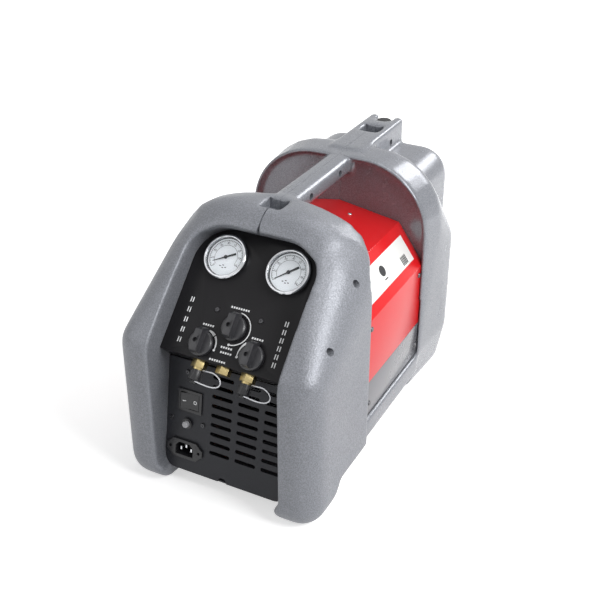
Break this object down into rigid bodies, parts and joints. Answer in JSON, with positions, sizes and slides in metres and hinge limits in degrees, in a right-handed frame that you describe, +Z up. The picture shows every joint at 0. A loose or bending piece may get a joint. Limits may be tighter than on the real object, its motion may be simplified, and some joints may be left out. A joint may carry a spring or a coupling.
{
  "type": "refrigerant recovery machine",
  "caption": "Portable refrigerant recovery machine: moulded grey arches and carrying handle around a red hood, with gauges, valve knobs, flare ports and mains fittings at the front.",
  "frame": {"origin": "on the floor under the middle of the machine", "axes": "+Z up, the control panels face -Y, +X to the right of someone who stands in front of them"},
  "size_m": [0.262, 0.486, 0.334],
  "materials": {
    "shell": "pebbled satin",
    "valve_panel": "satin",
    "vent_panel": "satin",
    "hood": "gloss powder coat",
    "tray": "satin",
    "rubber": "matt",
    "screw_steel": "bright",
    "screw_black": "satin",
    "bezel": "polished",
    "dial": "satin white",
    "lens": "clear",
    "needle": "matt",
    "brass": "turned",
    "knob": "satin",
    "cap": "moulded",
    "tether": "braided",
    "switch": "moulded",
    "reset": "moulded",
    "inlet": "moulded",
    "motor": "satin",
    "casting": "as cast",
    "capacitor": "satin",
    "copper": "drawn",
    "fins": "mill",
    "fan": "moulded"
  },
  "bodies": {
    "chassis": {"shell_left": "shell", "shell_right": "shell", "shell_screws": "screw_steel", "tray": "tray", "tray_seals": "rubber", "hood": "hood", "hood_screws": "screw_black", "valve_panel": "valve_panel", "vent_panel": "vent_panel", "panel_screws": "screw_black", "input_gauge_case": "bezel", "output_gauge_case": "bezel", "input_dial": "dial", "output_dial": "dial", "input_lens": "lens", "output_lens": "lens", "valve_block": "brass", "input_port": "brass", "purge_port": "brass", "output_port": "brass", "input_tether": "tether", "output_tether": "tether", "switch_frame": "switch", "breaker_body": "inlet", "inlet_body": "inlet", "inlet_pins": "screw_steel", "motor": "motor", "motor_cradle": "tray", "crankcase": "casting", "left_cylinder": "casting", "right_cylinder": "casting", "rubber_mounts": "rubber", "capacitor": "capacitor", "filter": "copper", "suction_line": "copper", "intake_line": "copper", "discharge_line": "copper", "return_line": "copper", "gauge_lines": "copper", "condenser": "fins", "fan_motor": "motor", "fan_guard": "inlet", "rear_bumper": "rubber"},
    "input_valve": {"input_knob": "knob", "input_stem": "brass"},
    "mode_valve": {"mode_knob": "knob", "mode_stem": "brass"},
    "output_valve": {"output_knob": "knob", "output_stem": "brass"},
    "input_pointer": {"input_needle": "needle"},
    "output_pointer": {"output_needle": "needle"},
    "rocker": {"switch_paddle": "switch"},
    "reset": {"reset_button": "reset"},
    "cooling_fan": {"fan": "fan", "fan_shaft": "screw_steel"},
    "input_cover": {"input_cap": "cap"},
    "output_cover": {"output_cap": "cap"}
  },
  "joints": [
    {"name": "input_valve_turn", "type": "hinge", "parent": "chassis", "child": "input_valve", "pos_m": [-0.033, -0.20333, 0.19624], "axis": [0, -0.7071, 0.7071], "range_deg": [-105, 0]},
    {"name": "mode_valve_turn", "type": "hinge", "parent": "chassis", "child": "mode_valve", "pos_m": [0, -0.18466, 0.21491], "axis": [0, -0.7071, 0.7071], "range_deg": [-180, 0]},
    {"name": "output_valve_turn", "type": "hinge", "parent": "chassis", "child": "output_valve", "pos_m": [0.033, -0.20333, 0.19624], "axis": [0, -0.7071, 0.7071], "range_deg": [0, 105]},
    {"name": "input_needle_turn", "type": "hinge", "parent": "chassis", "child": "input_pointer", "pos_m": [-0.041, -0.12951, 0.27006], "axis": [0, -0.7071, 0.7071], "range_deg": [-250, 17], "stiffness_Nm_per_rad": 0.0001},
    {"name": "output_needle_turn", "type": "hinge", "parent": "chassis", "child": "output_pointer", "pos_m": [0.041, -0.12951, 0.27006], "axis": [0, -0.7071, 0.7071], "range_deg": [-257, 0], "stiffness_Nm_per_rad": 0.0001},
    {"name": "switch_rock", "type": "hinge", "parent": "chassis", "child": "rocker", "pos_m": [-0.051, -0.20502, 0.1126], "axis": [0, 0.18, 0.9837], "range_deg": [-14, 0]},
    {"name": "reset_press", "type": "slide", "parent": "chassis", "child": "reset", "axis": [0, 0.9837, -0.18], "range_m": [0, 0.0025], "stiffness_N_per_m": 300},
    {"name": "fan_spin", "type": "hinge", "parent": "chassis", "child": "cooling_fan", "pos_m": [0, 0.19, 0.1825], "axis": [0, 1, 0], "continuous": true},
    {"name": "input_cap_pull", "type": "slide", "parent": "chassis", "child": "input_cover", "axis": [0, -0.7071, -0.7071], "range_m": [0, 0.02], "deforming": ["input_tether"]},
    {"name": "output_cap_pull", "type": "slide", "parent": "chassis", "child": "output_cover", "axis": [0, -0.7071, -0.7071], "range_m": [0, 0.02], "deforming": ["output_tether"]}
  ]
}
